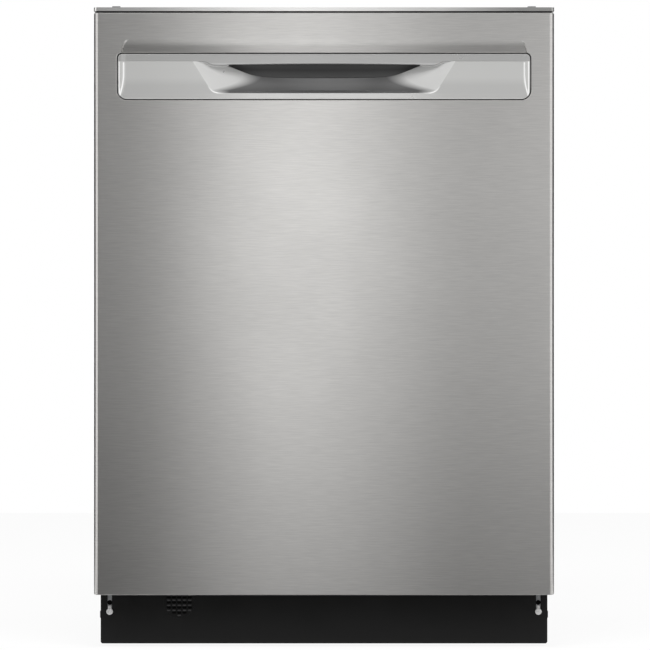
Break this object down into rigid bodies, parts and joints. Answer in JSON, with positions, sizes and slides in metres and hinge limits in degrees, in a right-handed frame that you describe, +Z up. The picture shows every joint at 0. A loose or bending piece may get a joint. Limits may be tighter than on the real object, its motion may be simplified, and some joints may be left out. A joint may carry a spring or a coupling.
{
  "type": "dishwasher",
  "caption": "Built-in dishwasher with a brushed steel drop-down door, a recessed pocket handle, a thin top console and a black vented toe plate.",
  "frame": {"origin": "on the floor, under the middle of the machine's overall box", "axes": "+X to the right seen from the front, +Y towards the back, +Z up; the door faces -Y"},
  "size_m": [0.6064, 0.622, 0.8527],
  "materials": {
    "outer_steel": "brushed stainless",
    "tub_steel": "satin stainless",
    "galvanised": "galvanised",
    "bright_metal": "zinc plated",
    "handle_silver": "metallic satin",
    "black_paint": "satin black paint",
    "rack_coating": "nylon coated wire",
    "black_plastic": "textured",
    "grey_plastic": "moulded",
    "light_plastic": "moulded",
    "dark_grey_plastic": "moulded",
    "blue_grey_plastic": "moulded",
    "display": "smoked window",
    "board": "circuit board",
    "seal_rubber": "matt rubber",
    "hose_rubber": "reinforced hose",
    "blanket": "felted blanket",
    "pad": "damping pad",
    "pump_metal": "cast",
    "outer_steel_console": "brushed trim"
  },
  "bodies": {
    "cabinet": {"tub": "tub_steel", "tub_blanket": "blanket", "base_frame": "galvanised", "kick_plate_screws": "bright_metal", "countertop_brackets": "galvanised", "tub_gasket": "seal_rubber", "door_strike": "bright_metal", "hinge_pins": "bright_metal", "sump": "grey_plastic", "coarse_filter": "tub_steel", "wash_pump_housing": "pump_metal", "drain_pump": "dark_grey_plastic", "inlet_valve": "light_plastic", "fill_hose": "hose_rubber", "heating_element": "bright_metal", "feed_tube": "grey_plastic", "junction_box": "galvanised", "wiring_harness": "black_plastic", "rack_slide_outers": "tub_steel", "door_springs": "galvanised", "door_cables": "black_plastic"},
    "door": {"door_outer_panel": "outer_steel", "door_liner": "tub_steel", "door_insulation": "pad", "handle_pocket": "handle_silver", "control_console": "outer_steel_console", "display_window": "display", "control_board": "board", "latch_body": "dark_grey_plastic", "dispenser_body": "grey_plastic", "door_vent": "grey_plastic", "door_bottom_seal": "seal_rubber", "hinge_arms": "galvanised", "door_screws": "bright_metal"},
    "upper_rack_body": {"upper_rack": "rack_coating", "rack_slide_inners": "tub_steel", "upper_arm_manifold": "grey_plastic"},
    "lower_rack_body": {"lower_rack": "rack_coating"},
    "kick_plate": {"kick_plate": "black_paint"},
    "fine_filter": {"fine_filter": "blue_grey_plastic"},
    "wash_pump_impeller": {"wash_pump_impeller": "light_plastic"},
    "lower_spray_arm": {"lower_spray_arm": "grey_plastic"},
    "overfill_float": {"overfill_float": "light_plastic"},
    "rack_slide_middles": {"rack_slide_middles": "tub_steel"},
    "power_button": {"power_button": "dark_grey_plastic"},
    "cycle_button": {"cycle_button": "dark_grey_plastic"},
    "start_button": {"start_button": "dark_grey_plastic"},
    "latch_hook": {"latch_hook": "bright_metal"},
    "dispenser_lid": {"dispenser_lid": "light_plastic"},
    "rinse_cap": {"rinse_cap": "blue_grey_plastic"},
    "upper_spray_arm": {"upper_spray_arm": "grey_plastic"},
    "cup_shelf": {"cup_shelf": "rack_coating"},
    "lower_front_wheels": {"lower_front_wheels": "light_plastic"},
    "lower_rear_wheels": {"lower_rear_wheels": "light_plastic"},
    "silverware_basket": {"silverware_basket": "light_plastic"},
    "fold_down_tines": {"fold_down_tines": "rack_coating"},
    "leg_front_left": {"leg_front_left": "galvanised"},
    "leg_front_right": {"leg_front_right": "galvanised"},
    "leg_rear_left": {"leg_rear_left": "galvanised"},
    "leg_rear_right": {"leg_rear_right": "galvanised"}
  },
  "joints": [
    {"name": "door_hinge", "type": "hinge", "parent": "cabinet", "child": "door", "pos_m": [0, -0.271, 0.098], "axis": [1, 0, 0], "range_deg": [0, 90], "stiffness_Nm_per_rad": 22, "springref_deg": -6.88, "deforming": ["door_springs", "door_cables"]},
    {"name": "upper_rack_slide", "type": "slide", "parent": "cabinet", "child": "upper_rack_body", "axis": [0, -1, 0], "range_m": [0, 0.44]},
    {"name": "rack_runner_slide", "type": "slide", "parent": "cabinet", "child": "rack_slide_middles", "axis": [0, -1, 0], "range_m": [0, 0.22]},
    {"name": "lower_rack_slide", "type": "slide", "parent": "cabinet", "child": "lower_rack_body", "axis": [0, -1, 0], "range_m": [0, 0.1257]},
    {"name": "front_wheel_roll", "type": "hinge", "parent": "lower_rack_body", "child": "lower_front_wheels", "pos_m": [0, -0.138, 0.1383], "axis": [1, 0, 0], "range_deg": [0, 400.1]},
    {"name": "rear_wheel_roll", "type": "hinge", "parent": "lower_rack_body", "child": "lower_rear_wheels", "pos_m": [0, 0.19, 0.1383], "axis": [1, 0, 0], "range_deg": [0, 400.1]},
    {"name": "kick_plate_height", "type": "slide", "parent": "cabinet", "child": "kick_plate", "axis": [0, 0, -1], "range_m": [0, 0.02]},
    {"name": "filter_turn", "type": "hinge", "parent": "cabinet", "child": "fine_filter", "pos_m": [0, -0.026, 0.09], "axis": [0, 0, 1], "range_deg": [0, 90]},
    {"name": "pump_impeller_spin", "type": "hinge", "parent": "cabinet", "child": "wash_pump_impeller", "pos_m": [-0.11, 0.02, 0.058], "axis": [1, 0, 0], "continuous": true},
    {"name": "lower_arm_spin", "type": "hinge", "parent": "cabinet", "child": "lower_spray_arm", "pos_m": [0, 0.02, 0.14], "axis": [0, 0, 1], "continuous": true},
    {"name": "float_rise", "type": "slide", "parent": "cabinet", "child": "overfill_float", "axis": [0, 0, 1], "range_m": [0, 0.01]},
    {"name": "power_button_press", "type": "slide", "parent": "door", "child": "power_button", "axis": [0, 0, -1], "range_m": [0, 0.001], "stiffness_N_per_m": 1500, "springref_m": -0.0004},
    {"name": "cycle_button_press", "type": "slide", "parent": "door", "child": "cycle_button", "axis": [0, 0, -1], "range_m": [0, 0.001], "stiffness_N_per_m": 1500, "springref_m": -0.0004},
    {"name": "start_button_press", "type": "slide", "parent": "door", "child": "start_button", "axis": [0, 0, -1], "range_m": [0, 0.001], "stiffness_N_per_m": 1500, "springref_m": -0.0004},
    {"name": "latch_pawl", "type": "hinge", "parent": "door", "child": "latch_hook", "pos_m": [0, -0.275, 0.824], "axis": [-1, 0, 0], "range_deg": [0, 15], "stiffness_Nm_per_rad": 0.5, "springref_deg": -5.73},
    {"name": "dispenser_lid_swing", "type": "hinge", "parent": "door", "child": "dispenser_lid", "pos_m": [-0.0976, -0.2401, 0.4], "axis": [0, 0, 1], "range_deg": [0, 100]},
    {"name": "rinse_cap_turn", "type": "hinge", "parent": "door", "child": "rinse_cap", "pos_m": [0.03, -0.24, 0.4], "axis": [0, 1, 0], "range_deg": [0, 90]},
    {"name": "upper_arm_spin", "type": "hinge", "parent": "upper_rack_body", "child": "upper_spray_arm", "pos_m": [0, 0.013, 0.53], "axis": [0, 0, 1], "continuous": true},
    {"name": "cup_shelf_fold", "type": "hinge", "parent": "upper_rack_body", "child": "cup_shelf", "pos_m": [-0.2425, 0.013, 0.64], "axis": [0, -1, 0], "range_deg": [0, 85]},
    {"name": "basket_lift", "type": "slide", "parent": "lower_rack_body", "child": "silverware_basket", "axis": [0, 0, 1], "range_m": [0, 0.15]},
    {"name": "tine_fold", "type": "hinge", "parent": "lower_rack_body", "child": "fold_down_tines", "pos_m": [0, -0.103, 0.16395], "axis": [1, 0, 0], "range_deg": [0, 80]},
    {"name": "leg_front_left_height", "type": "slide", "parent": "cabinet", "child": "leg_front_left", "axis": [0, 0, -1], "range_m": [0, 0.038]},
    {"name": "leg_front_right_height", "type": "slide", "parent": "cabinet", "child": "leg_front_right", "axis": [0, 0, -1], "range_m": [0, 0.038]},
    {"name": "leg_rear_left_height", "type": "slide", "parent": "cabinet", "child": "leg_rear_left", "axis": [0, 0, -1], "range_m": [0, 0.038]},
    {"name": "leg_rear_right_height", "type": "slide", "parent": "cabinet", "child": "leg_rear_right", "axis": [0, 0, -1], "range_m": [0, 0.038]}
  ],
  "couplings": [
    {"joint": "upper_rack_slide", "follows": "door_hinge", "m_per_rad": 0.28},
    {"joint": "rack_runner_slide", "follows": "door_hinge", "m_per_rad": 0.14},
    {"joint": "lower_rack_slide", "follows": "door_hinge", "m_per_rad": 0.08},
    {"joint": "front_wheel_roll", "follows": "door_hinge", "ratio": 4.4444},
    {"joint": "rear_wheel_roll", "follows": "door_hinge", "ratio": 4.4444}
  ]
}
